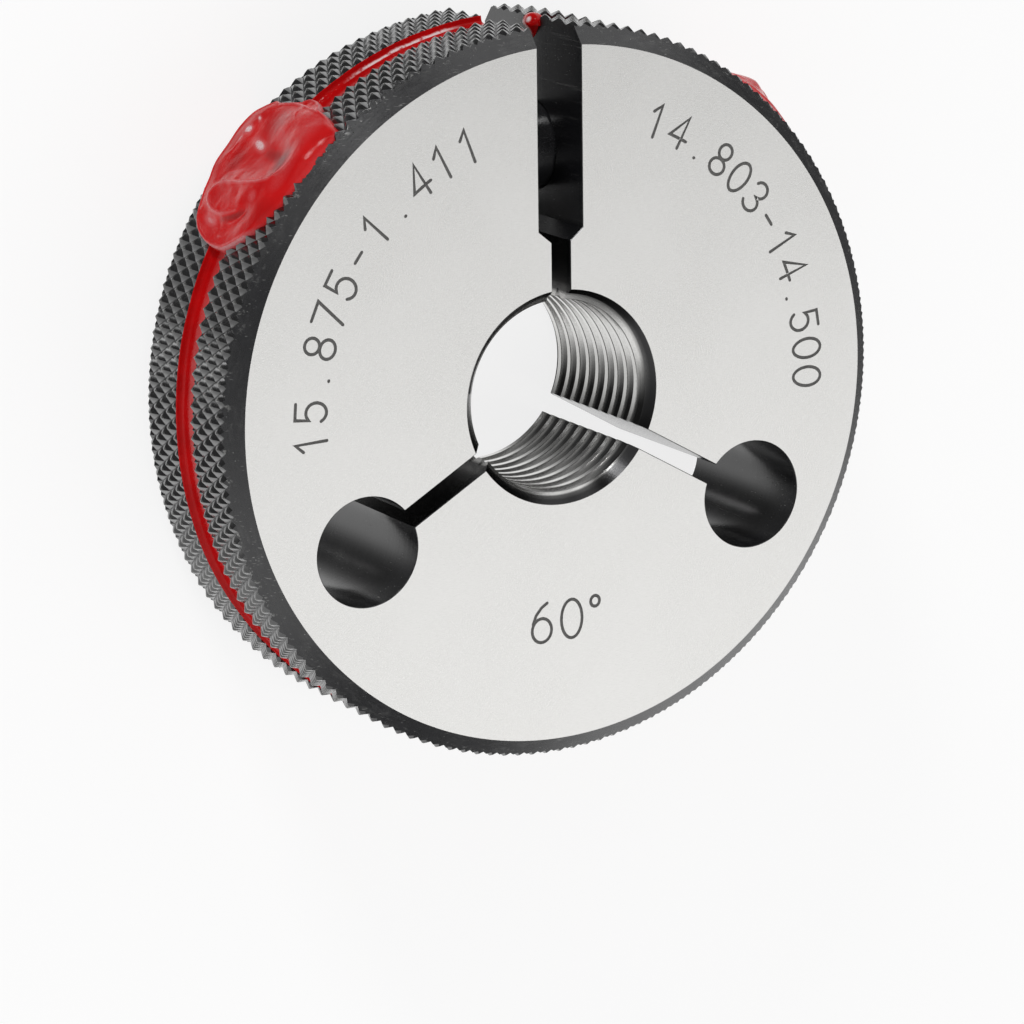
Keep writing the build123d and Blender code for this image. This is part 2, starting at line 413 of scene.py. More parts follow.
def engraving():
    """Cutters for all marks, in layers whose strokes don't touch each other."""
    layers = {}

    def put(text, place, height, width=0.27, depth=0.085, lift=HALF + 0.012):
        for ch, where in zip(text, place):
            for layer, line in enumerate(FIGURES[ch]):
                pts = [where(x * height, y * height) for x, y in line]
                v, f = stroke(pts, width, depth, lift)
                vs, fs = layers.setdefault(layer, ([], []))
                base = len(vs)
                vs += v
                fs += [tuple(i + base for i in q) for q in f]

    def along_rim(text, start, end, base_r, height):
        """Reads clockwise, tops outwards, from one angle to another."""
        text = list(text)
        step = (start - end) / (len(text) - 1) if len(text) > 1 else 0
        place = []
        for i in range(len(text)):
            mid = math.radians(start - step * i)

            def where(x, y, mid=mid):
                t = mid - (x - 0.30 * height) / (base_r + height / 2)
                r = base_r + y
                return (r * math.cos(t), r * math.sin(t))
            place.append(where)
        put(text, place, height)

    along_rim("15.875-1.411", 182.5, 111.5, 19.76, 2.55)
    along_rim("14.803-14.500", 67.5, -2.5, 20.42, 2.45)

    # the thread angle, upright below the bore
    h = 3.0
    chars = ["6", "0", "deg"]
    xs = [-2.6, 0.0, 2.35]
    put(chars, [(lambda x, y, x0=x0: (x0 + x - 0.3, -18.6 + y)) for x0 in xs], h, width=0.27)
    return [raw(f"marks{k}", *layers[k]) for k in sorted(layers)]


# --------------------------------------------------------------------- ring body
KNURL_PHASE, KNURL_Z = -0.35 * TAU / TEETH, 0.0


def build_ring():
    ring = knurled("ring", phase=KNURL_PHASE, z_phase=KNURL_Z)
    out = 1.0  # how far the blank reaches beyond the knurl before they are intersected
    slope = RIM_DEPTH / (RIM - FACE)
    far = RIM + out
    blank = lathe("blank", [
        (6.9, -HALF + MOUTH_DEPTH * (MOUTH - 6.9) / (MOUTH - CREST)),
        (MOUTH, -HALF), (FACE, -HALF),
        (far, -HALF + slope * (far - FACE)),
        (far, -GROOVE_HALF), (GROOVE_FLOOR, -GROOVE_HALF),
        (GROOVE_FLOOR, GROOVE_HALF), (far, GROOVE_HALF),
        (far, HALF - slope * (far - FACE)),
        (FACE, HALF), (MOUTH, HALF),
        (6.9, HALF - MOUTH_DEPTH * (MOUTH - 6.9) / (MOUTH - CREST)),
    ], 576)
    carve(ring, blank, "INTERSECT")
    carve(ring, thread_plug("plug"))
    carve(ring, flared("slot", adjusting_slot))
    for k, a in enumerate((210, 330)):
        carve(ring, flared(f"key{k}", lambda g, a=a: keyhole(a, g)))
    carve(ring, cross_hole("cross"))
    for marks in engraving():
        carve(ring, outward(marks))
    return retile(retile(ring, HALF, True), -HALF, False)


def retile(o, z, up):
    """Fresh triangles for a flat face full of holes and marks; the outlines the
    boolean leaves are too long to be split cleanly."""
    bm = bmesh.new()
    bm.from_mesh(o.data)
    flat = {f for f in bm.faces if all(abs(v.co.z - z) < 1e-4 for v in f.verts)}
    sides = [(l.vert, l.link_loop_next.vert) for f in flat for l in f.loops
             if sum(g in flat for g in l.edge.link_faces) == 1]
    verts = sorted({v for pair in sides for v in pair}, key=lambda v: v.index)
    at = {v: i for i, v in enumerate(verts)}
    way = sorted((at[a], at[b]) for a, b in sides)
    co, _, tris, old, _, _ = delaunay_2d_cdt([v.co.to_2d() for v in verts], way, [], 0, 1e-7)
    xy = np.array([tuple(p) for p in co])
    tri = np.array([tuple(t) for t in tris])
    u, w = xy[tri[:, 1]] - xy[tri[:, 0]], xy[tri[:, 2]] - xy[tri[:, 0]]
    cross = u[:, 0] * w[:, 1] - u[:, 1] * w[:, 0]
    # a triangle is metal when a line from its middle crosses the outline an odd number of times
    here = np.array([tuple(v.co.to_2d()) for v in verts])
    p, q = here[[k for k, _ in way]], here[[k for _, k in way]]
    mid = xy[tri].mean(1)
    metal = []
    for x, y in mid:
        m = (p[:, 1] > y) != (q[:, 1] > y)
        at_x = p[m, 0] + (y - p[m, 1]) / (q[m, 1] - p[m, 1]) * (q[m, 0] - p[m, 0])
        metal.append((at_x > x).sum() % 2 == 1)
    own = [verts[k[0]] if k else bm.verts.new((c.x, c.y, z)) for c, k in zip(co, old)]
    bmesh.ops.delete(bm, geom=list(flat), context="FACES_ONLY")
    for t, turn, real in zip(tri, cross, metal):
        if real and turn:
            bm.faces.new([own[k] for k in (t if (turn > 0) == up else t[::-1])])
    bmesh.ops.delete(bm, geom=[e for e in bm.edges if not e.link_faces], context="EDGES")
    bmesh.ops.delete(bm, geom=[v for v in bm.verts if not v.link_faces], context="VERTS")
    # where two outlines cross, narrow gaps stay open
    bmesh.ops.holes_fill(bm, edges=[e for e in bm.edges if e.is_boundary], sides=12)
    bm.to_mesh(o.data)
    bm.free()
    o.data.update()
    return o


def ring_regions(o):
    """Material index of each polygon of the ring, from where it lies and faces."""
    c, n = poly_data(o)
    r = np.hypot(c[:, 0], c[:, 1])
    z = np.abs(c[:, 2])
    nr = (n[:, 0] * c[:, 0] + n[:, 1] * c[:, 1]) / np.maximum(r, 1e-6)
    which = np.full(len(c), 3)                                  # walls of slots and holes
    which[(z > HALF - 0.002) & (np.abs(n[:, 2]) > 0.98)] = 0     # ground faces
    bore = (r < MOUTH + 0.01) & (nr < -0.05)
    which[bore] = 4
    cone = (r > FACE - 0.02) & (np.abs(nr - math.sin(math.atan2(RIM_DEPTH, RIM - FACE))) < 0.03) \
        & (z > HALF - RIM_DEPTH - 0.3)
    which[cone] = 1                                             # outer chamfers
    band = (r > VALLEY - 0.05) & (z < HALF - 0.9) & ~cone & (np.abs(c[:, 0]) > 0)
    wall_x = (np.abs(np.abs(c[:, 0]) - WIDE / 2) < 0.004) & (np.abs(n[:, 0]) > 0.99) & (c[:, 1] > 0)
    side = (np.abs(z - GROOVE_HALF) < 0.01) & (np.abs(n[:, 2]) > 0.99)
    which[band & ~wall_x & ~side & (nr > 0.3)] = 2              # knurl
    marks = (c[:, 2] > HALF - 0.12) & (c[:, 2] < HALF - 0.0005) & (r > 12.5) & (r < 24.5) & (n[:, 2] > 0.02)
    far_hole = np.ones(len(c), bool)
    for a in (210, 330):
        hx, hy = TERMINAL_AT * math.cos(math.radians(a)), TERMINAL_AT * math.sin(math.radians(a))
        far_hole &= np.hypot(c[:, 0] - hx, c[:, 1] - hy) > TERMINAL + 0.3
        along = (c[:, 0] * hx + c[:, 1] * hy) / TERMINAL_AT
        across = np.abs(c[:, 0] * hy - c[:, 1] * hx) / TERMINAL_AT
        far_hole &= ~((across < NARROW / 2 + 0.2) & (along > 0))
    far_hole &= ~((np.abs(c[:, 0]) < WIDE / 2 + 0.2) & (c[:, 1] > 0))
    which[marks & far_hole] = 5                                 # engraved strokes
    return which


# ---------------------------------------------------------------- groove enamel
def wobble(x, seed, terms=7, low=2, high=40):
    """Smooth closed-loop noise of an angle, about -1 to 1."""
    g = np.random.default_rng(seed)
    k = g.integers(low, high, terms)
    ph = g.uniform(0, TAU, terms)
    return sum(np.cos(k[i] * x + ph[i]) / (1 + 0.03 * k[i]) for i in range(terms)) / terms * 1.6


def smooth01(x):
    x = np.clip(x, 0, 1)
    return x * x * (3 - 2 * x)


def build_enamel():
    """Enamel lining the groove: a floor, a back wall whose lip stands a little
    into the knurl roots, and a lower lip at the front."""
    n = 1440
    gh = GROOVE_HALF
    front = [(27.47, gh - 0.02), (27.45, gh - 0.07), (27.34, gh - 0.12), (27.26, gh - 0.24),
             (27.225, gh - 0.46), (27.215, gh - 0.80), (27.212, 0.10)]
    back = [(27.212, -gh + 0.86), (27.215, -gh + 0.62), (27.235, -gh + 0.42), (27.28, -gh + 0.27),
            (27.36, -gh + 0.17), (27.47, -gh + 0.12), (27.62, -gh + 0.10), (27.71, -gh + 0.075),
            (27.74, -gh + 0.02)]
    shell = [(27.70, -gh - 0.015), (GROOVE_FLOOR - 0.03, -gh - 0.015),
             (GROOVE_FLOOR - 0.03, gh + 0.015), (27.44, gh + 0.015)]
    o = lathe("enamel", front + back + shell, n)
    m = o.data
    co = np.empty(len(m.vertices) * 3, np.float32)
    m.vertices.foreach_get("co", co)
    co = co.reshape(-1, 3).astype(float)
    r, a, z = np.hypot(co[:, 0], co[:, 1]), np.arctan2(co[:, 1], co[:, 0]), co[:, 2]
    seen = (np.abs(z) < gh) & (r > GROOVE_FLOOR)
    lip = seen & (r > 27.44)
    move = 0.022 * wobble(a, 3) + 0.014 * wobble(a + z * 0.15, 4, 9, 60, 190)
    tip = 0.045 * wobble(a, 8, 11, 20, 330) + 0.035 * wobble(a, 9, 9, 9, 60)
    # the back lip stands up on the upper left only
    ang = np.degrees(a) % 360
    sunk = 0.26 * (smooth01((ang - 200) / 26) + smooth01((92 - ang) / 3))
    thin = 0.24 * smooth01((91 - ang) / 4) * smooth01((ang - 58) / 6)
    tall = seen & (r > 27.5) & (z < 0)
    r2 = r + np.where(lip, tip, np.where(seen, move, 0)) - np.where(tall, np.minimum(sunk, r - 27.40), 0)
    r2 = np.where(seen & (z < 0) & (thin > 0), np.minimum(r2, 27.47 - thin), r2)
    # so does the skin's hidden upper edge behind the back lip
    edge = (z < -gh) & (r > 27.5)
    r2 = np.where(edge, np.minimum(r - np.minimum(sunk, r - 27.36), 27.46 - np.where(thin > 0, thin, -1)), r2)
    co[:, 0], co[:, 1] = r2 * np.cos(a), r2 * np.sin(a)
    wall = (np.abs(z) > gh - 0.3) & (np.abs(z) < gh - 0.05)
    co[:, 2] += np.where(wall, 0.028 * wobble(a, 5, 9, 20, 160) * np.where(z > 0, 1, -0.8), 0)
    m.vertices.foreach_set("co", co.reshape(-1).astype(np.float32))
    m.update()
    carve(o, flared("slot", lambda g: adjusting_slot(g - EDGE if g > 0 else -0.04)))
    return carve(o, enamel_drop(), "UNION")


def enamel_drop():
    """The run of enamel that hangs from the groove's end on the slot's right wall."""
    n, m = 56, 40
    v, f = [], []
    for j in range(m + 1):
        c = math.cos(math.pi * j / m)
        w = math.sin(math.pi * j / m)
        low = max(0.0, -c)
        y = 0.78 * c * (1 + 1.05 * low * low)
        w *= 1 - 0.50 * low ** 1.5
        for i in range(n if 0 < j < m else 1):
            a = TAU * i / n
            lump = 1 + 0.05 * math.sin(3 * a + 2 * y) + 0.03 * math.sin(5 * a - 3 * y)
            v.append((WIDE / 2 + 0.12 + 0.22 * low ** 2 + 0.74 * w * lump * math.cos(a), 26.98 + y,
                      0.02 + 0.10 * low + 1.06 * w * lump * math.sin(a)))
    last = len(v) - 1
    for i in range(n):
        i2 = (i + 1) % n
        f.append((0, 1 + i, 1 + i2))
        f.append((last, last - n + i2, last - n + i))
        for j in range(m - 2):
            f.append((1 + j * n + i, 1 + (j + 1) * n + i, 1 + (j + 1) * n + i2, 1 + j * n + i2))
    return outward(raw("drop", v, f))


# --------------------------------------------------------------------- wax seals
def outline_distance(t, z, line):
    """Signed distance to a closed outline, positive inside, on a grid."""
    p = np.array(line, float)
    q = np.roll(p, -1, 0)
    d = np.full(t.shape, 1e9)
    inside = np.zeros(t.shape, bool)
    for (x0, y0), (x1, y1) in zip(p, q):
        ex, ey = x1 - x0, y1 - y0
        s = np.clip(((t - x0) * ex + (z - y0) * ey) / (ex * ex + ey * ey), 0, 1)
        d = np.minimum(d, np.hypot(t - x0 - s * ex, z - y0 - s * ey))
        cross = ((y0 > z) != (y1 > z))
        xs = x0 + (z - y0) * ex / np.where(abs(ey) < 1e-9, 1e-9, ey)
        inside ^= cross & (t < xs)
    return np.where(inside, d, -d)


def round_line(line, n=220):
    """A smooth closed curve through the outline's points."""
    p = np.array(line, float)
    k = len(p)
    out = []
    for i in range(n):
        u = i / n * k
        j = int(u)
        f = u - j
        a, b, c, d = p[(j - 1) % k], p[j % k], p[(j + 1) % k], p[(j + 2) % k]
        out.append(0.5 * (2 * b + (c - a) * f + (2 * a - 5 * b + 4 * c - d) * f ** 2
                          + (3 * b - a - 3 * c + d) * f ** 3))
    return [tuple(q) for q in out]


def round_open(line, n=8):
    """A smooth open curve through points."""
    p = [np.array(q, float) for q in line]
    p = [2 * p[0] - p[1]] + p + [2 * p[-1] - p[-2]]
    out = []
    for j in range(1, len(p) - 2):
        a, b, c, d = p[j - 1:j + 3]
        for i in range(n):
            f = i / n
            out.append(tuple(0.5 * (2 * b + (c - a) * f + (2 * a - 5 * b + 4 * c - d) * f ** 2
                                    + (3 * b - a - 3 * c + d) * f ** 3)))
    return out + [tuple(p[-2])]


def seal_piece(name, angle, line, height, n=320, side=1):
    """Wax cap on the rim. height(t, z, d) is its thickness over the knurl roots;
    t runs round the rim towards the adjusting slot, z along the axis, d is the
    distance inside the outline. A skirt closes it below the knurl."""
    line = round_line(line, n)
    p = np.array(line)
    c = p.mean(0)
    rings = 150
    k = len(p)
    # polar grid from the middle to the outline, denser at the edge
    s = 1 - (1 - np.linspace(0.0, 1.0, rings)) ** 1.25
    T = c[0] + np.outer(s[1:], p[:, 0] - c[0])
    Z = c[1] + np.outer(s[1:], p[:, 1] - c[1])
    T = np.vstack([np.full((1, k), c[0]), T])
    Z = np.vstack([np.full((1, k), c[1]), Z])
    D = outline_distance(T, Z, line)
    D[-1] = 0
    H, P = height(T, Z, np.maximum(D, 0))
    R = 27.28 + H
    A = math.radians(angle) - side * T / 28.0
    v = [(R[0, 0] * math.cos(A[0, 0]), R[0, 0] * math.sin(A[0, 0]), Z[0, 0])]
    for j in range(1, rings):
        for i in range(k):
            v.append((R[j, i] * math.cos(A[j, i]), R[j, i] * math.sin(A[j, i]), Z[j, i]))
    # skirt and floor inside the metal
    base = len(v)
    for i in range(k):
        rr = 26.7
        v.append((rr * math.cos(A[-1, i]), rr * math.sin(A[-1, i]), Z[-1, i]))
    v.append((26.7 * math.cos(A[0, 0]), 26.7 * math.sin(A[0, 0]), Z[0, 0]))
    f = []
    for i in range(k):
        i2 = (i + 1) % k
        f.append((0, 1 + i, 1 + i2))
        for j in range(rings - 2):
            f.append((1 + j * k + i, 1 + (j + 1) * k + i, 1 + (j + 1) * k + i2, 1 + j * k + i2))
        last = 1 + (rings - 2) * k
        f.append((last + i, base + i, base + i2, last + i2))
        f.append((base + i, len(v) - 1, base + i2))
    o = outward(raw(name, v, f))
    # painted light per vertex, kept as the rim attribute: painted highlight above zero, painted shade below
    pale = np.zeros(len(v), np.float32)
    pale[0] = P[0, 0]
    pale[1:base] = P[1:].reshape(-1)
    o.data.attributes.new("rim", "FLOAT", "POINT").data.foreach_set("value", pale)
    return o


LEFT_LINE = [
    (-6.31, 0.5), (-6.2, 1.35), (-5.73, 2.3), (-5.12, 3.2), (-4.35, 4.08), (-3.34, 4.85), (-1.96, 5.59),
    (-0.58, 5.97), (0.37, 6.16), (1.43, 6.27), (2.7, 6.2), (3.98, 6.2), (4.98, 5.97), (5.48, 5.27), (5.84, 4.21),
    (6.12, 3.04), (6.36, 1.88), (6.82, 1.13), (7.07, 0.29), (7.03, -0.56), (6.65, -1.2), (6.27, -1.94),
    (6.12, -2.9), (6.08, -3.85), (6.16, -4.54), (5.8, -5.12), (5.25, -5.67), (4.61, -6.2), (3.23, -6.52),
    (1.64, -6.27), (-0.05, -6.29), (-1.54, -5.78), (-2.81, -5.44), (-3.92, -4.89), (-4.85, -4.27), (-5.55, -3.27),
    (-6.03, -2.05), (-6.29, -0.77)]

# thickness of the wax at points of the left seal: (t, z, mm)
LEFT_RELIEF = [
    (-5.94, 0.5, 0.79), (-5.78, 1.56, 0.77), (-5.25, 2.62, 0.77), (-5.83, -0.77, 0.79), (-5.62, -2.05, 0.79),
    (-5.12, -3.16, 0.79), (-4.4, -4.17, 0.77), (-5.3, 0.29, 0.68), (-5.12, 1.35, 0.68), (-5.2, -0.99, 0.67),
    (-4.88, -2.26, 0.68), (-4.4, -3.21, 0.7), (-4.72, 2.2, 0.73), (-4.53, 0.29, 0.56), (-4.51, -0.77, 0.56),
    (-4.24, 0.92, 0.58), (-3.66, 1.66, 0.63), (-4.24, -1.94, 0.68), (-4.03, -3, 0.73), (-3.08, 2.14, 0.74),
    (-4.03, 2.41, 0.74), (-3.89, -0.56, 0.84), (-3.81, -1.83, 0.89), (-3.61, -2.79, 0.9), (-3.23, -3.58, 0.9),
    (-2.6, -4.01, 0.9), (-1.96, -3.69, 0.94), (-3.34, 0.29, 0.96), (-2.81, 1.35, 1.06), (-2.92, -0.77, 0.97),
    (-2.81, -2.15, 0.91), (-2.49, -3.11, 0.89), (-2.17, 2.09, 1.13), (-1.96, 0.29, 1.08), (-1.96, -1.41, 1.01),
    (-1.91, -2.58, 0.97), (-1.54, -2.68, 1.06), (-1.35, -1.41, 1.13), (-1.11, 0.29, 1.21), (-0.9, 1.56, 1.26),
    (-0.58, 2.73, 1.3), (-0.05, 3.79, 1.32), (-4.4, 3.36, 0.75), (-3.45, 3.36, 0.84), (-3.34, 4.32, 0.77),
    (-2.6, 3.89, 0.97), (-1.96, 5.06, 0.82), (-1.54, 4.21, 1.08), (-1.33, 3.26, 1.17), (-0.58, 5.06, 0.98),
    (-0.48, 4.1, 1.21), (0.37, 5.59, 0.91), (1.43, 5.69, 0.91), (2.7, 5.69, 0.94), (3.87, 5.59, 0.95),
    (4.83, 5.16, 0.94), (0.58, 4.74, 1.26), (1.64, 4.85, 1.3), (2.7, 4.69, 1.31), (3.55, 4.1, 1.33),
    (4.29, 3.15, 1.33), (0.27, 3.36, 1.09), (1.11, 3.84, 1.12), (1.86, 3.79, 1.13), (2.49, 3.26, 1.13),
    (2.81, 2.41, 1.1), (-0.05, 2.09, 0.99), (0.69, 2.41, 0.86), (1.54, 2.62, 0.82), (2.28, 2.09, 0.84),
    (-0.32, 0.5, 0.96), (0.48, 0.82, 0.77), (1.33, 0.92, 0.68), (2.07, 0.71, 0.69), (2.81, 0.71, 0.83),
    (3.55, 0.29, 1.05), (4.14, 0.29, 1.19), (3.34, 1.56, 1.09), (3.76, 1.77, 1.21), (-0.58, -0.99, 0.91),
    (0.16, -0.88, 0.75), (1.11, -0.77, 0.63), (2.07, -0.77, 0.65), (2.81, -0.99, 0.73), (3.55, -0.99, 0.89),
    (-0.8, -2.47, 0.84), (-0.05, -2.36, 0.72), (1.01, -2.26, 0.61), (1.96, -2.26, 0.63), (2.92, -2.36, 0.7),
    (3.87, -2.15, 0.82), (4.83, -2.05, 0.91), (-1.33, -3.74, 0.81), (-0.27, -3.53, 0.72), (0.9, -3.53, 0.68),
    (1.96, -3.53, 0.73), (3.02, -3.53, 0.79), (4.08, -3.53, 0.86), (5.14, -3.53, 0.89), (4.72, 4.1, 1.21),
    (5.25, 4.1, 1.01), (5.04, 2.62, 1.28), (5.62, 2.83, 1.08), (4.83, 1.35, 1.3), (4.61, 0.07, 1.21),
    (4.51, -0.99, 1.04), (5.46, 1.35, 1.21), (5.89, 1.35, 1.06), (5.36, 0.07, 1.19), (5.99, 0.07, 1.04),
    (5.36, -1.2, 1.04), (5.99, -1.2, 0.97), (5.89, -2.47, 0.92), (6.73, 0.29, 0.82), (6.68, -0.35, 0.82),
    (6.36, 0.5, 0.87), (6.36, -0.56, 0.84), (-3.45, -4.59, 0.74), (-2.39, -4.8, 0.77), (-1.33, -4.7, 0.81),
    (-1.54, -5.33, 0.74), (-0.27, -4.7, 0.83), (-0.05, -5.55, 0.81), (0.9, -4.7, 0.87), (1.11, -5.65, 0.81),
    (1.96, -4.59, 0.94), (2.7, -5.12, 0.92), (3.23, -4.38, 0.96), (3.34, -5.86, 0.84), (4.08, -4.49, 0.96),
    (4.4, -5.44, 0.9), (5.14, -4.59, 0.91), (5.57, -4.7, 0.83)]

# thin folds and crests on it, with a painted highlight along each: line, height, half width, how pale
LEFT_FOLDS = [
    ([
        (-0.05, 4.08), (-0.48, 3.13), (-0.77, 2.2), (-0.97, 1.24), (-1.11, 0.29), (-1.26, -0.77), (-1.37, -1.62),
        (-1.47, -2.47), (-1.66, -3.21), (-2.05, -3.74), (-2.55, -4), (-3, -3.81), (-3.39, -3.21), (-3.66, -2.47),
        (-3.79, -1.62), (-3.79, -0.88), (-3.68, -0.14), (-3.4, 0.71), (-3, 1.56)], 0.1, 0.14, 0.8),
    ([
        (-4.24, 0.07), (-4.17, 0.6), (-3.96, 1.13), (-3.61, 1.66), (-3.13, 2.2), (-2.7, 2.46)], 0.05, 0.09, 0.4),
    ([
        (-3.68, -3.79), (-3.83, -4.27), (-3.96, -4.7)], 0.07, 0.12, 0.7),
    ([
        (-5.25, -0.56), (-5.36, 0.18), (-5.29, 0.92)], 0.03, 0.1, 0.3),
    ([
        (5.84, 2.83), (5.95, 1.77), (6.01, 0.71), (6.12, -0.46), (6.08, -1.62), (5.86, -2.9), (5.65, -3.85)], 0.1, 0.13, 0.8),
    ([
        (4.77, 0.92), (5.09, 0.29), (5.57, -0.22)], 0.04, 0.1, 0.25),
    ([
        (6.29, 0.92), (6.73, 1.05), (6.97, 0.5), (6.92, -0.35), (6.52, -0.88), (6.2, -0.56)], 0.12, 0.1, 0.8),
    ([
        (0.58, -5.55), (0.74, -4.91), (1.33, -4.64), (2.17, -4.64)], 0.05, 0.1, 0.35),
    ([
        (3.87, -3.74), (4.08, -4.27), (4.29, -4.64)], 0.06, 0.08, 0.5)]


def relief(points, t, z):
    """Smooth surface through (t, z, height) points: a thin-plate spline."""
    p = np.array(points, float)
    n = len(p)

    def kernel(d2):
        return 0.5 * d2 * np.log(np.maximum(d2, 1e-9))
    a = np.zeros((n + 3, n + 3))
    a[:n, :n] = kernel((p[:, None, 0] - p[None, :, 0]) ** 2 + (p[:, None, 1] - p[None, :, 1]) ** 2)
    a[:n, :n] += np.eye(n) * 0.02
    a[:n, n], a[:n, n + 1], a[:n, n + 2] = 1, p[:, 0], p[:, 1]
    a[n:, :n] = a[:n, n:].T
    w = np.linalg.solve(a, np.concatenate([p[:, 2], np.zeros(3)]))
    out = w[n] + w[n + 1] * t + w[n + 2] * z
    for i in range(n):
        out += w[i] * kernel((t - p[i, 0]) ** 2 + (z - p[i, 1]) ** 2)
    return out


def line_distance(t, z, line):
    p = np.array(line, float)
    d = np.full(t.shape, 1e9)
    for (x0, y0), (x1, y1) in zip(p[:-1], p[1:]):
        ex, ey = x1 - x0, y1 - y0
        s = np.clip(((t - x0) * ex + (z - y0) * ey) / (ex * ex + ey * ey), 0, 1)
        d = np.minimum(d, np.hypot(t - x0 - s * ex, z - y0 - s * ey))
    return d


def fold(h, pale, t, z, folds):
    for line, height, width, light in folds:
        line = round_open(line)
        ends = np.minimum(np.hypot(t - line[0][0], z - line[0][1]), np.hypot(t - line[-1][0], z - line[-1][1]))
        g = np.exp(-(line_distance(t, z, line) / width) ** 2) * smooth01(ends / 0.7)
        h = h + height * g
        pale = np.maximum(pale, light * g)
    return h, pale


def ripple(t, z, seed, size):
    """Low lumps in the wax, about -1 to 1."""
    g = np.random.default_rng(seed)
    out = 0
    for _ in range(9):
        a, k, ph = g.uniform(0, TAU), g.uniform(0.6, 1.6) / size, g.uniform(0, TAU)
        out = out + np.sin((t * math.cos(a) + z * math.sin(a)) * k * TAU + ph)
    return out / 5


# painted highlights: pale patches where the photo's wax catches the lamps: middle, half sizes, turn, how pale
LEFT_PAINTED_HIGHLIGHTS = [(2.15, -2.0, 0.42, 1.15, 14, 1.25), (-4.45, -2.2, 0.40, 1.10, 10, 0.85),
              (3.02, -4.55, 0.36, 0.50, 10, 1.40), (4.10, -4.30, 0.16, 0.42, 24, 1.20),
              (2.10, -4.70, 0.60, 0.22, -6, 0.90), (3.15, 0.55, 0.75, 1.05, 20, 0.40),
              (-0.40, -2.3, 0.24, 1.20, -14, 0.55), (0.9, 0.3, 0.60, 1.50, 0, 0.25),
              (-1.85, 2.55, 0.40, 0.45, 0, 0.55), (0.6, 4.6, 2.2, 0.7, 0, 0.28),
              (4.6, 3.6, 1.5, 1.0, -40, 0.30)]
# painted shade: patches of deeper red in the wax's hollows
LEFT_PAINTED_SHADE = [(1.3, 3.0, 1.15, 0.9, 0, 0.75), (1.6, 1.0, 0.55, 1.6, 0, 0.45), (-3.6, 0.9, 0.35, 1.7, -18, 0.60),
             (-2.6, 4.4, 1.5, 0.9, 30, 0.25), (0.4, -3.5, 1.3, 0.8, 0, 0.35), (4.3, -1.4, 1.0, 1.5, 0, 0.30)]


def patches(spots, t, z):
    out = 0
    for x, y, a, b, turn, much in spots:
        c, k = math.cos(math.radians(turn)), math.sin(math.radians(turn))
        u, v = ((t - x) * c + (z - y) * k) / a, (-(t - x) * k + (z - y) * c) / b
        out = out + much * np.exp(-(u * u + v * v) ** 1.3)
    return out


def left_height(t, z, d):
    h = relief(LEFT_RELIEF, t, z)
    # raised lip along the back and both ends, thin edge running into the knurl in front
    front = smooth01((z - 3.2) / 1.6)
    lip = np.exp(-((d - 0.20) / 0.13) ** 2) * (1 - front)
    h = h + 0.08 * lip + 0.005 * ripple(t, z, 5, 1.1) + 0.015 * ripple(t, z, 6, 2.6)
    # painted highlight along the outline's edge, weaker in front, and along the folds
    h, pale = fold(h, 0.9 * np.exp(-((d - 0.12) / 0.17) ** 2) * (1 - 0.75 * front), t, z, LEFT_FOLDS)
    reach = 0.32 + 0.55 * front
    fall = np.sqrt(1 - (1 - np.clip(d / reach, 0, 1)) ** 2)
    # painted highlights raise the pale value, painted shade lowers it
    pale = np.maximum(pale, patches(LEFT_PAINTED_HIGHLIGHTS, t, z)) - patches(LEFT_PAINTED_SHADE, t, z)
    return np.clip(h * fall, 0.02, 1.98), pale


RIGHT_LINE = [(-6.2, -0.3), (-5.7, 2.2), (-4.3, 4.0), (-2.1, 5.0), (0.2, 5.35), (2.2, 5.65), (4.0, 5.2),
              (5.2, 3.6), (5.7, 1.6), (6.5, 0.9), (6.6, -0.8), (5.8, -1.8), (5.3, -3.9), (3.4, -5.3),
              (0.9, -5.7), (-1.7, -5.4), (-3.9, -4.6), (-5.5, -2.8)]

RIGHT_RELIEF = [
    (3.4, 2.6, 1.96), (3.3, 0.2, 1.94), (4.5, 1.4, 1.62), (5.3, -0.1, 1.08), (1.9, 2.4, 1.36), (1.5, 0.1, 1.22),
    (0.0, 3.0, 0.72), (0.0, 0.0, 0.76), (-2.0, 2.0, 0.74), (-2.0, -1.0, 0.76), (-4.0, 1.0, 0.98),
    (-4.6, -1.2, 0.98), (3.0, -3.0, 1.42), (0.0, -3.6, 1.12), (-3.0, -3.2, 0.96), (4.9, -2.5, 1.06),
    (0.0, 4.6, 0.80), (2.9, 4.5, 1.06), (-3.0, 3.8, 0.84), (5.3, 2.8, 0.94), (-5.5, 0.4, 0.84), (6.2, 0.0, 0.86),
    (2.4, -1.4, 1.56), (-0.8, -1.8, 0.82), (1.0, -5.0, 0.94), (-4.4, -3.4, 0.84)]

RIGHT_FOLDS = [
    ([(2.3, 4.2), (2.6, 2.9), (2.4, 1.4), (2.2, 0.0), (2.5, -1.6), (2.2, -3.0)], 0.10, 0.15, 0.7),
    ([(-3.4, 2.8), (-1.8, 2.9), (-0.6, 1.8), (-0.4, 0.2), (-1.2, -1.4), (-2.9, -2.1)], 0.08, 0.14, 0.6),
    ([(4.4, 3.2), (4.8, 1.6), (4.7, -0.4)], 0.05, 0.10, 0.5)]


def right_height(t, z, d):
    h = relief(RIGHT_RELIEF, t, z)
    front = smooth01((z - 3.2) / 1.6)
    h = h + 0.08 * np.exp(-((d - 0.20) / 0.13) ** 2) + 0.015 * ripple(t, z, 16, 2.4)
    # painted highlight along the outline's edge and along the folds
    h, pale = fold(h, 0.9 * np.exp(-((d - 0.12) / 0.17) ** 2), t, z, RIGHT_FOLDS)
    reach = 0.34 + 0.30 * front
    fall = np.sqrt(1 - (1 - np.clip(d / reach, 0, 1)) ** 2)
    return np.clip(h * fall, 0.02, 1.98), pale


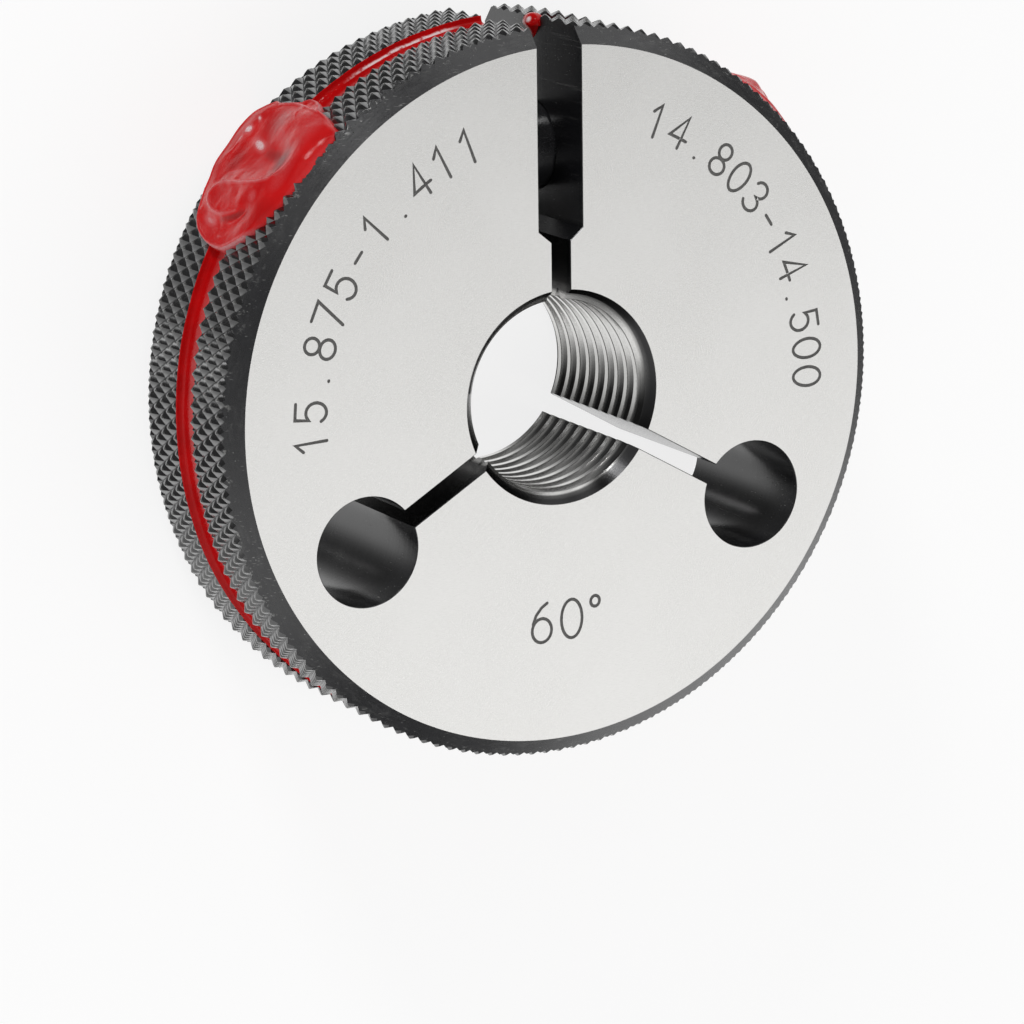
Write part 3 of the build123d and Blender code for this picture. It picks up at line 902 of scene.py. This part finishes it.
# ------------------------------------------------------------------- materials
class Shader:
    """Small helper that builds one node material."""

    def __init__(self, name):
        self.mat = bpy.data.materials.new(name)
        self.mat.use_nodes = True
        self.t = self.mat.node_tree
        self.b = self.t.nodes["Principled BSDF"]
        self.obj = self.node("ShaderNodeTexCoord").outputs["Object"]
        # object coordinates in millimetres
        self.mm = self.node("ShaderNodeVectorMath", operation="SCALE", a=self.obj, Scale=1000.0).outputs[0]

    def node(self, kind, a=None, b=None, c=None, out=None, **kw):
        n = self.t.nodes.new(kind)
        for key, val in list(kw.items()):
            if hasattr(n, key) and key not in n.inputs:
                setattr(n, key, val)
                kw.pop(key)
        for i, val in enumerate((a, b, c)):
            if val is not None:
                self.put(n.inputs[i], val)
        for key, val in kw.items():
            self.put(n.inputs[key.replace("_", " ")] if key.replace("_", " ") in n.inputs else n.inputs[key], val)
        return n

    def put(self, socket, val):
        if isinstance(val, bpy.types.NodeSocket):
            self.t.links.new(val, socket)
        elif isinstance(val, bpy.types.Node):
            self.t.links.new(val.outputs[0], socket)
        elif isinstance(val, (tuple, list)) and len(val) == 3 and socket.type == "RGBA":
            socket.default_value = (*val, 1.0)
        else:
            socket.default_value = val

    def set(self, **kw):
        for key, val in kw.items():
            self.put(self.b.inputs[key.replace("_", " ")], val)

    def noise(self, scale, detail=3.0, rough=0.5, vec=None, distortion=0.0):
        return self.node("ShaderNodeTexNoise", Vector=vec or self.mm, Scale=scale, Detail=detail,
                         Roughness=rough, Distortion=distortion).outputs["Fac"]

    def stretch(self, x, y, z, turn=0.0):
        return self.node("ShaderNodeMapping", Vector=self.mm, Rotation=(0, 0, math.radians(turn)),
                         Scale=(x, y, z)).outputs[0]

    def ramp(self, fac, *stops):
        n = self.node("ShaderNodeValToRGB", Fac=fac)
        e = n.color_ramp.elements
        while len(e) < len(stops):
            e.new(0.5)
        for el, (pos, col) in zip(e, stops):
            el.position = pos
            el.color = (*((col,) * 3 if isinstance(col, (int, float)) else col), 1.0)
        return n.outputs["Color"]

    def span(self, val, lo, hi, to_lo=0.0, to_hi=1.0):
        return self.node("ShaderNodeMapRange", Value=val, From_Min=lo, From_Max=hi, To_Min=to_lo,
                         To_Max=to_hi).outputs[0]

    def math(self, op, a, b=0.0):
        return self.node("ShaderNodeMath", a=a, b=b, operation=op).outputs[0]

    def mix(self, fac, a, b):
        n = self.t.nodes.new("ShaderNodeMix")
        n.data_type = "RGBA"
        self.put(n.inputs[0], fac)
        self.put(n.inputs[6], a)
        self.put(n.inputs[7], b)
        return n.outputs[2]

    def bump(self, height, strength, distance, normal=None):
        n = self.node("ShaderNodeBump", Height=height, Strength=strength, Distance=distance)
        if normal is not None:
            self.put(n.inputs["Normal"], normal)
        return n.outputs[0]

    def radius(self):
        s = self.node("ShaderNodeSeparateXYZ", a=self.mm)
        xx = self.math("MULTIPLY", s.outputs[0], s.outputs[0])
        yy = self.math("MULTIPLY", s.outputs[1], s.outputs[1])
        return self.math("SQRT", self.math("ADD", xx, yy))

    def turned(self, across, along):
        """Coordinates for marks that run round the axis."""
        p = self.node("ShaderNodeSeparateXYZ", a=self.mm)
        a = self.math("ARCTAN2", p.outputs[1], p.outputs[0])
        return self.node("ShaderNodeCombineXYZ", a=self.math("MULTIPLY", self.radius(), across),
                         b=self.math("MULTIPLY", a, 27.0 * along),
                         c=self.math("MULTIPLY", p.outputs[2], across)).outputs[0]

    def height_z(self):
        return self.node("ShaderNodeSeparateXYZ", a=self.mm).outputs[2]


def ground_steel():
    """Ground face: bright, even, with short faint grain."""
    s = Shader("ground_steel_face")
    g1 = s.noise(4.0, 4, 0.7, s.stretch(0.50, 4.0, 1, 8))
    g2 = s.noise(9.0, 3, 0.6, s.stretch(0.7, 3.2, 1, -12))
    cloud = s.noise(0.12, 3, 0.55)
    col = s.ramp(s.math("ADD", s.math("MULTIPLY", g1, 0.60), s.math("MULTIPLY", cloud, 0.40)),
                 (0.25, (0.60, 0.595, 0.58)), (0.75, (0.73, 0.725, 0.71)))
    s.set(Base_Color=col, Metallic=0.88,
          Roughness=s.span(s.math("ADD", g2, s.math("MULTIPLY", cloud, 0.4)), 0.4, 1.0, 0.24, 0.34))
    s.set(Normal=s.bump(s.math("ADD", g1, s.math("MULTIPLY", g2, 0.6)), 0.16, 0.00002))
    return s.mat


def black_oxide(name, base=(0.009, 0.009, 0.0105), nick=0.62, rough=(0.22, 0.36), ior=1.85, edge=False,
                streaks=False):
    """Oiled black oxide with fine mottling, pinprick nicks and short scratches;
    edge adds the knocks along the knurl, streaks the reamer's marks in the holes."""
    s = Shader(name)
    fine = s.noise(5.0, 5, 0.7)
    coarse = s.noise(0.5, 3, 0.5)
    spots = s.node("ShaderNodeTexVoronoi", Vector=s.mm, Scale=2.3).outputs["Distance"]
    spots = s.math("MULTIPLY", s.span(spots, 0.10, 0.03), s.span(s.noise(0.8, 2), 0.50, 0.62))
    scr = s.noise(1.6, 2, 0.4, s.stretch(0.45, 7.0, 2.0, 35))
    scr = s.math("MULTIPLY", s.span(scr, 0.70, 0.76), s.span(coarse, nick - 0.12, nick + 0.02))
    marks = s.math("MAXIMUM", s.math("MULTIPLY", spots, 0.5), scr)
    height = fine
    if edge:
        near = s.span(s.radius(), 26.95, 27.45)
        knock = s.math("MULTIPLY", s.span(s.noise(1.9, 4, 0.7), 0.60, 0.68), near)
        hair = s.noise(1.2, 2, 0.4, s.stretch(0.6, 9.0, 3.0, -62))
        hair = s.math("MULTIPLY", s.span(hair, 0.66, 0.72), s.span(s.noise(0.25, 2), 0.50, 0.58))
        pin = s.node("ShaderNodeTexVoronoi", Vector=s.mm, Scale=1.6).outputs["Distance"]
        pin = s.math("MULTIPLY", s.span(pin, 0.075, 0.03), s.span(s.noise(0.4, 2), 0.44, 0.54))
        marks = s.math("MAXIMUM", marks, s.math("MAXIMUM", s.math("MULTIPLY", knock, 0.75),
                                                s.math("MAXIMUM", s.math("MULTIPLY", hair, 0.6), pin)))
        lay = s.noise(1.0, 5, 0.65, s.turned(5.0, 0.55))
        dust = s.math("MULTIPLY", s.span(s.noise(1.0, 4, 0.7, s.turned(2.6, 0.9)), 0.46, 0.70),
                      s.span(s.noise(0.16, 2), 0.42, 0.60, 0.15, 1.0))
        marks = s.math("MAXIMUM", marks, s.math("MULTIPLY", dust, 0.14))
        height = s.math("ADD", s.math("ADD", fine, s.math("MULTIPLY", knock, 1.5)), s.math("MULTIPLY", lay, 1.1))
    if streaks:
        lines = s.noise(1.0, 4, 0.6, s.stretch(0.12, 0.12, 5.0))
        tall = s.noise(1.3, 3, 0.6, s.stretch(2.2, 2.2, 0.10))
        marks = s.math("MAXIMUM", marks, s.math("MULTIPLY", s.span(tall, 0.62, 0.74), 0.20))
        height = s.math("ADD", s.math("MULTIPLY", fine, 0.5), s.math("MULTIPLY", lines, 0.7))
    col = s.mix(s.span(fine, 0.3, 0.75), base, tuple(c * 1.8 for c in base))
    col = s.mix(marks, col, (0.38, 0.38, 0.37))
    s.set(Base_Color=col, Metallic=s.math("MULTIPLY", marks, 0.8),
          Roughness=s.span(s.math("ADD", s.math("MULTIPLY", fine, 0.7), s.math("MULTIPLY", coarse, 0.5)),
                           0.35, 0.9, *rough), IOR=ior)
    s.set(Normal=s.bump(height, 0.16, 0.00003))
    return s.mat


def knurl_steel():
    """Black oxide on the knurl's sides, worn grey along its ridges and tips."""
    s = Shader("knurl_black_oxide")
    r = s.radius()
    patch = s.noise(0.35, 3, 0.6)
    fine = s.noise(6.0, 4, 0.75)
    wear = s.span(s.math("ADD", r, s.math("MULTIPLY", s.math("SUBTRACT", patch, 0.5), 0.10)),
                  27.72, 27.87)
    wear = s.math("MULTIPLY", wear, s.span(fine, 0.25, 0.6, 0.5, 1.0))
    col = s.mix(s.span(fine, 0.3, 0.75), (0.003, 0.003, 0.0035), (0.009, 0.009, 0.010))
    col = s.mix(wear, col, (0.36, 0.36, 0.35))
    s.set(Base_Color=col, Metallic=s.math("MULTIPLY", wear, 0.7),
          Roughness=s.span(fine, 0.3, 0.8, 0.12, 0.24), IOR=2.15)
    s.set(Normal=s.bump(fine, 0.09, 0.00003))
    return s.mat


def thread_steel():
    """Bright lapped thread, dark at its roots, and the blackened entry chamfer."""
    s = Shader("thread_lapped_steel")
    r = s.radius()
    z = s.math("ABSOLUTE", s.height_z())
    fine = s.noise(6.0, 4, 0.6, s.stretch(1, 1, 6))
    root = s.span(r, 7.55, 7.86)
    col = s.mix(s.span(fine, 0.3, 0.7), (0.62, 0.615, 0.60), (0.78, 0.775, 0.76))
    col = s.mix(s.math("MULTIPLY", root, 0.92), col, (0.03, 0.03, 0.03))
    # painted dark reflection: the photo's thread is darker on both sides of the slot that opens right through, a
    # reflection; the studio light didn't give it, so it is painted here as colour
    xyz = s.node("ShaderNodeSeparateXYZ", Vector=s.mm).outputs
    beside = s.math("DIVIDE", s.math("SUBTRACT", s.math("MULTIPLY", xyz[0], 0.866), s.math("MULTIPLY", xyz[1], 0.5)), r)
    painted_dark_reflection = s.math("MULTIPLY", s.span(beside, 0.70, 0.95), s.span(r, 7.29, 7.46, 0.35, 1.0))
    col = s.mix(s.math("MULTIPLY", painted_dark_reflection, 0.93), col, (0.03, 0.03, 0.03))
    mouth = s.math("MULTIPLY", s.span(z, HALF - 0.72, HALF - 0.60), s.span(z, HALF - 0.015, HALF - 0.06))
    col = s.mix(s.math("MULTIPLY", mouth, s.span(fine, 0.2, 0.8, 0.72, 0.96)), col, (0.035, 0.035, 0.036))
    s.set(Base_Color=col, Metallic=0.95, Roughness=s.span(fine, 0.2, 0.8, 0.13, 0.24))
    s.set(Normal=s.bump(fine, 0.12, 0.00002))
    return s.mat


def engraved():
    """Etched line, dull dark grey."""
    s = Shader("engraved_line")
    n = s.noise(9.0, 3, 0.6)
    s.set(Base_Color=s.ramp(n, (0.3, (0.12, 0.118, 0.114)), (0.7, (0.21, 0.207, 0.20))), Metallic=0.2,
          Roughness=0.6)
    s.set(Normal=s.bump(n, 0.3, 0.00003))
    return s.mat


def wax(name, base, dark, rough=(0.07, 0.18), scratch=1.0, glint=False):
    """Red sealing wax: glossy, clouded, with painted highlights, pale, along its edges and where the photo shows
    glare, and painted shade, a deeper red, in its hollows. glint adds, as colour, the line of glare at the foot
    of the enamel's back wall and on the drop."""
    s = Shader(name)
    big = s.noise(0.45, 3, 0.5)
    fine = s.noise(6.0, 4, 0.6)
    specks = s.noise(14.0, 2, 0.5)
    # the rim attribute is painted light: above zero painted highlight, below zero painted shade
    rim = s.node("ShaderNodeAttribute", attribute_name="rim").outputs["Fac"]
    crumb = s.noise(8.0, 4, 0.8)
    # painted highlight: pale pink along the edges and on the bright patches, broken up by noise
    painted_highlight = s.math("MULTIPLY", s.span(rim, 0.05, 1.2), s.span(crumb, 0.38, 0.60, 0.40, 1.0))
    glare = s.math("MULTIPLY", s.span(rim, 0.72, 1.15), s.span(crumb, 0.40, 0.52, 0.25, 1.0))
    col = s.mix(s.span(big, 0.3, 0.7), base, dark)
    # painted shade: the red deepens where the rim attribute drops below zero
    col = s.mix(s.span(rim, 0.0, -0.8), col, tuple(c * 0.34 for c in base))
    col = s.mix(s.math("MULTIPLY", painted_highlight, 0.85), col, (0.90, 0.30, 0.32))
    col = s.mix(glare, col, (1.0, 0.74, 0.76))
    if glint:
        xyz = s.node("ShaderNodeSeparateXYZ", Vector=s.mm).outputs
        wave = s.math("MULTIPLY", s.math("SUBTRACT", s.noise(0.7, 3, 0.6), 0.5), 0.25)
        off = s.math("ABSOLUTE", s.math("ADD", s.math("ADD", xyz[2], 0.90), wave))
        line = s.math("MULTIPLY", s.span(off, 0.17, 0.07), s.span(s.noise(1.6, 3, 0.6), 0.40, 0.50, 0.15, 1.0))
        ends = s.math("MULTIPLY", s.span(xyz[0], -3.6, -5.2), s.span(xyz[0], -13.6, -11.4))
        line = s.math("MULTIPLY", s.math("MULTIPLY", line, ends), s.span(xyz[1], 18.0, 20.0))
        col = s.mix(line, col, (1.0, 0.80, 0.81))
        # glints on the drop in the slot
        for at, size in (((1.36, 27.34, 0.36), 0.30), ((1.50, 27.00, -0.62), 0.24), ((1.60, 26.50, 0.10), 0.13)):
            gap = s.node("ShaderNodeVectorMath", s.mm, at, operation="DISTANCE").outputs["Value"]
            col = s.mix(s.span(gap, size, size * 0.45), col, (1.0, 0.78, 0.80))
    s.set(Base_Color=col, Roughness=s.span(s.math("ADD", s.math("MULTIPLY", fine, 0.5),
                                                  s.math("MULTIPLY", big, 0.5)), 0.3, 0.7, *rough),
          IOR=1.45, Specular_IOR_Level=0.18)
    grain = s.math("MULTIPLY", s.noise(3.2, 4, 0.75), s.span(s.noise(0.30, 2), 0.42, 0.60, 0.25, 1.3))
    h = s.math("ADD", s.math("MULTIPLY", fine, 0.5), s.math("MULTIPLY", s.span(specks, 0.62, 0.7), 0.6))
    s.set(Normal=s.bump(s.math("ADD", h, grain), 0.20 * scratch, 0.00008))
    return s.mat


def screw_steel():
    return black_oxide("screw_black_oxide", (0.022, 0.022, 0.024), 0.7, (0.18, 0.30))


# --------------------------------------------------------------------- assembly
M = [ground_steel(), black_oxide("rim_black_oxide", ior=1.70, edge=True), knurl_steel(),
     black_oxide("slot_black_oxide", (0.006, 0.006, 0.007), 0.60, (0.15, 0.27), 1.7, streaks=True),
     thread_steel(), engraved()]

ring = build_ring()
which = ring_regions(ring)
finish_piece(ring, "ring_detail", M, which, flat=(0, 1, 2))
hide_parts("ring_body")

enamel = build_enamel()
finish_piece(enamel, "enamel_detail",
             [wax("red_enamel_gloss", (0.66, 0.006, 0.007), (0.50, 0.004, 0.005), (0.07, 0.16), 0.5, glint=True)], None, 40)
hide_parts("groove_enamel")

WAX = wax("red_wax_gloss", (0.80, 0.016, 0.017), (0.68, 0.009, 0.011))
left = seal_piece("left", 140.0, LEFT_LINE, left_height)
finish_piece(left, "adjusting_screw_wax", [WAX], None, 50)
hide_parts("adjusting_screw_seal")
right = seal_piece("right", 40.0, RIGHT_LINE, right_height, side=-1)
finish_piece(right, "locking_screw_wax", [WAX], None, 50)
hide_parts("locking_screw_seal")

SCREW = screw_steel()
for node in ("sleeve", "adjusting_screw", "locking_screw"):
    for slot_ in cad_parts[node].material_slots:
        slot_.material = SCREW

# ------------------------------------------------------------ floor, light, camera
def sweep():
    """Pale floor that curves up all round into a plain backdrop."""
    zf = -HALF / 1000 - 0.0001
    profile = [(0.0, 0.0), (0.4, 0.0), (1.2, 0.0), (2.0, 0.0)]
    profile += [(2.0 + math.sin(a) * 0.8, 0.8 - math.cos(a) * 0.8) for a in np.linspace(0.1, math.pi / 2, 12)]
    profile += [(2.8, 3.5)]
    n = 96
    v, f = [(0.0, 0.0, zf)], []
    for r, z in profile[1:]:
        v += [(r * math.cos(TAU * i / n), r * math.sin(TAU * i / n), z + zf) for i in range(n)]
    for i in range(n):
        i2 = (i + 1) % n
        f.append((0, 1 + i, 1 + i2))
        for j in range(len(profile) - 2):
            f.append((1 + j * n + i, 1 + (j + 1) * n + i, 1 + (j + 1) * n + i2, 1 + j * n + i2))
    m = bpy.data.meshes.new("floor")
    m.from_pydata(v, [], f)
    m.polygons.foreach_set("use_smooth", np.ones(len(f), bool))
    o = bpy.data.objects.new("floor", m)
    scene.collection.objects.link(o)
    s = Shader("pale_floor")
    s.set(Base_Color=(0.24, 0.24, 0.24), Roughness=1.0, Specular_IOR_Level=0.0,
          Emission_Color=(1.0, 1.0, 1.0), Emission_Strength=0.82)
    m.materials.append(s.mat)
    # the studio round the part lights it, not the floor
    o.visible_glossy = o.visible_diffuse = o.visible_shadow = o.visible_transmission = False
    return o


RIGHT_V, UP_V, BACK_V = (Vector((0.8690219, -0.0121433, 0.4946246)), Vector((0.1308755, 0.9697325, -0.206132)),
                         Vector((-0.4771505, 0.2438674, 0.8443081)))


def studio(base, parts):
    """A soft white studio: base brightness and broad lighter or darker areas,
    each (direction as seen on the table, change, full inside, gone outside)."""
    world = scene.world or bpy.data.worlds.new("studio")
    scene.world = world
    world.use_nodes = True
    t = world.node_tree
    t.nodes.clear()
    way = t.nodes.new("ShaderNodeTexCoord").outputs["Generated"]
    total = None
    for (x, y, z), change, inner, outer in parts:
        d = (RIGHT_V * x + UP_V * y + BACK_V * z).normalized()
        dot = t.nodes.new("ShaderNodeVectorMath")
        dot.operation = "DOT_PRODUCT"
        t.links.new(way, dot.inputs[0])
        dot.inputs[1].default_value = d
        r = t.nodes.new("ShaderNodeMapRange")
        r.interpolation_type = "SMOOTHSTEP"
        t.links.new(dot.outputs["Value"], r.inputs["Value"])
        r.inputs["From Min"].default_value = math.cos(math.radians(outer))
        r.inputs["From Max"].default_value = math.cos(math.radians(inner))
        r.inputs["To Min"].default_value = 0.0
        r.inputs["To Max"].default_value = change
        if total is None:
            total = r.outputs[0]
        else:
            add = t.nodes.new("ShaderNodeMath")
            t.links.new(total, add.inputs[0])
            t.links.new(r.outputs[0], add.inputs[1])
            total = add.outputs[0]
    end = t.nodes.new("ShaderNodeMath")
    end.operation = "ADD"
    t.links.new(total, end.inputs[0])
    end.inputs[1].default_value = base
    low = t.nodes.new("ShaderNodeMath")
    low.operation = "MAXIMUM"
    t.links.new(end.outputs[0], low.inputs[0])
    low.inputs[1].default_value = 0.05
    bg = t.nodes.new("ShaderNodeBackground")
    t.links.new(low.outputs[0], bg.inputs["Strength"])
    out = t.nodes.new("ShaderNodeOutputWorld")
    t.links.new(bg.outputs[0], out.inputs[0])


sweep()
studio(1.22, [((-0.55, 0.80, 0.20), -1.09, 43, 66),
              ((0.00, 0.10, 1.00), -0.80, 30, 60),
              ((0.15, -0.98, -0.15), -1.02, 12, 36),
              ((-0.80, -0.56, -0.24), -0.50, 8, 34),
              ((0.80, 0.20, 0.50), -1.25, 22, 32),
              ((0.78, 0.25, -0.57), -1.02, 24, 38),
              ((0.86, -0.46, 0.34), 0.62, 12, 36),
              ((0.30, 0.84, 0.45), 1.10, 4, 14),
              ((-0.36, 0.45, 0.82), 1.60, 6, 18),
              ((0.70, 0.42, 0.58), -0.60, 8, 22),
              ((0.03, -0.12, 0.99), -0.36, 8, 22),
              ((-0.70, 0.64, -0.31), 3.0, 3, 7)])


def softbox(name, at, target, size, power, colour=(1, 1, 1)):
    d = bpy.data.lights.new(name, "AREA")
    d.shape = "RECTANGLE"
    d.size, d.size_y = size
    d.energy = power
    d.color = colour
    o = bpy.data.objects.new(name, d)
    scene.collection.objects.link(o)
    o.location = at
    o.rotation_mode = "QUATERNION"
    o.rotation_quaternion = (Vector(target) - Vector(at)).to_track_quat("-Z", "Y")
    return o


softbox("key_softbox", (-0.309, 0.710, 0.236), (0, 0, 0), (0.16, 0.16), 2.2)

cam_data = bpy.data.cameras.new("camera")
cam = bpy.data.objects.new("camera", cam_data)
scene.collection.objects.link(cam)
cam_data.sensor_width = 36.0
cam_data.lens = 160.4595
cam_data.clip_start, cam_data.clip_end = 0.01, 20.0
cam.rotation_mode = "QUATERNION"
rot = Matrix((RIGHT_V, UP_V, BACK_V)).transposed()
cam.rotation_quaternion = rot.to_quaternion()
cam.location = (-0.166181, 0.074501, 0.293414)
scene.camera = cam
scene.view_settings.view_transform = "Standard"
